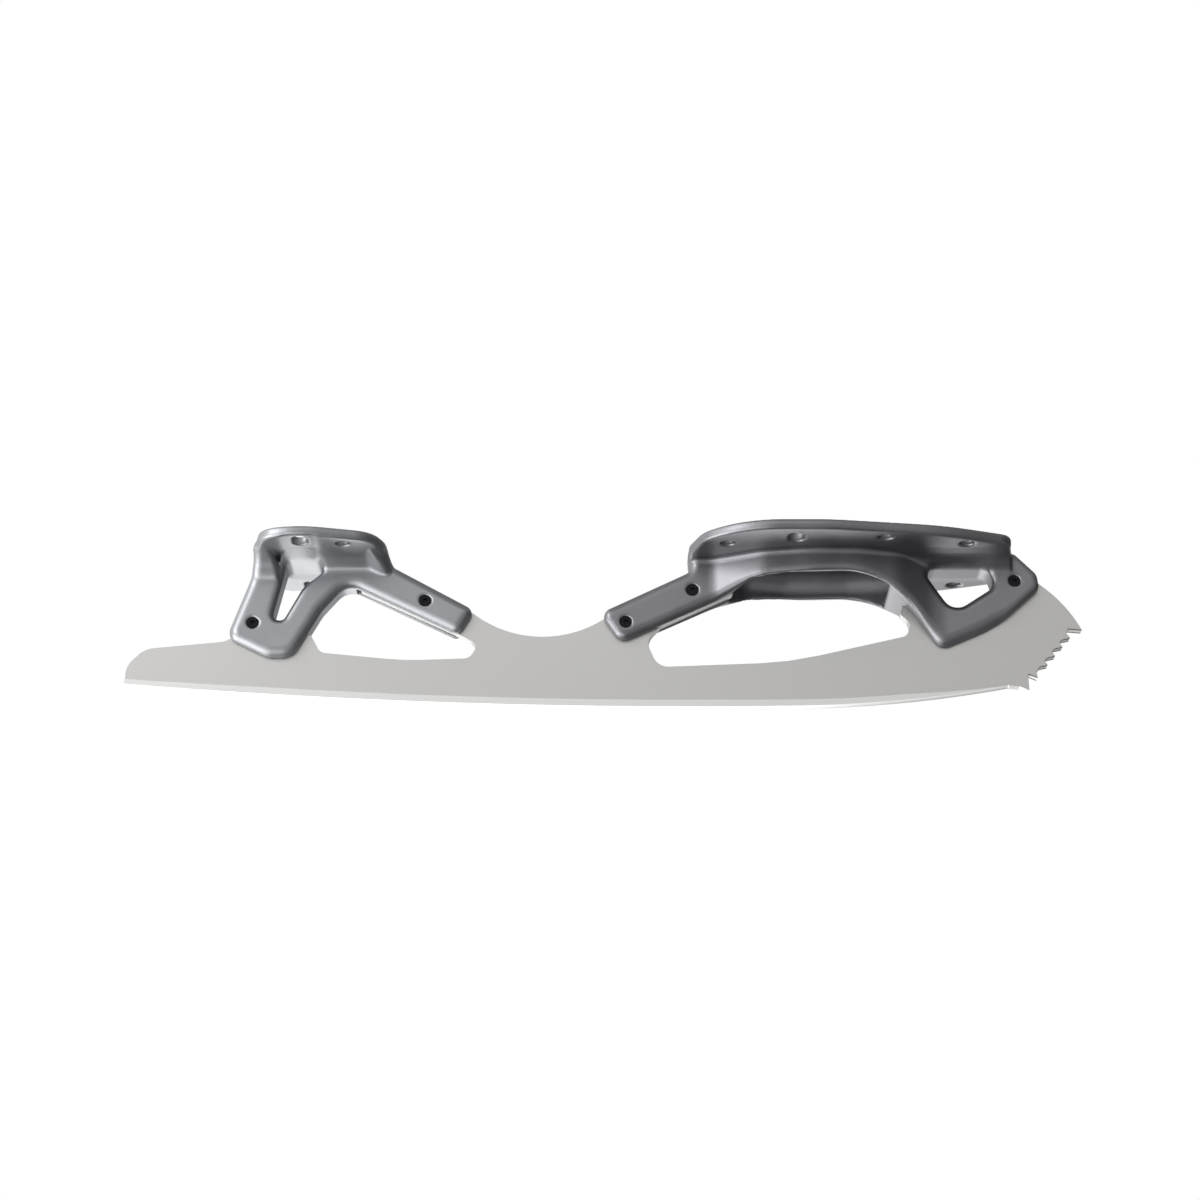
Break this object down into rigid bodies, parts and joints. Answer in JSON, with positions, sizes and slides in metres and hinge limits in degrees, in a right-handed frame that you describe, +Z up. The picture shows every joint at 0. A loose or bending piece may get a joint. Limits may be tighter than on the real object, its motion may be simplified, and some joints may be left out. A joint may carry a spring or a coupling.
{
  "type": "figure skate blade",
  "caption": "Figure skate blade: a toothed steel runner clamped in two cast aluminium chassis whose flat drilled plates carry a boot's heel and sole.",
  "frame": {"origin": "middle of the sole plate's four corner holes, on the seat face where the boot sits", "axes": "+X towards the toe along the blade, +Z up towards the boot, normal to both plates' seat faces; Y across the blade"},
  "size_m": [0.3037, 0.0686, 0.0512],
  "materials": {
    "stainless_runner": "fine satin, bright ground edge",
    "heel_casting": "satin metallic grey coating",
    "sole_casting": "satin metallic gunmetal coating",
    "black_oxide_steel": "black oxide"
  },
  "bodies": {
    "root": {"runner": "stainless_runner", "heel_chassis": "heel_casting", "sole_chassis": "sole_casting", "heel_rear_screw": "black_oxide_steel", "heel_rear_nut": "black_oxide_steel", "heel_front_screw": "black_oxide_steel", "heel_front_nut": "black_oxide_steel", "sole_rear_screw": "black_oxide_steel", "sole_rear_nut": "black_oxide_steel", "sole_middle_screw": "black_oxide_steel", "sole_middle_nut": "black_oxide_steel", "sole_front_screw": "black_oxide_steel", "sole_front_nut": "black_oxide_steel"}
  },
  "joints": []
}
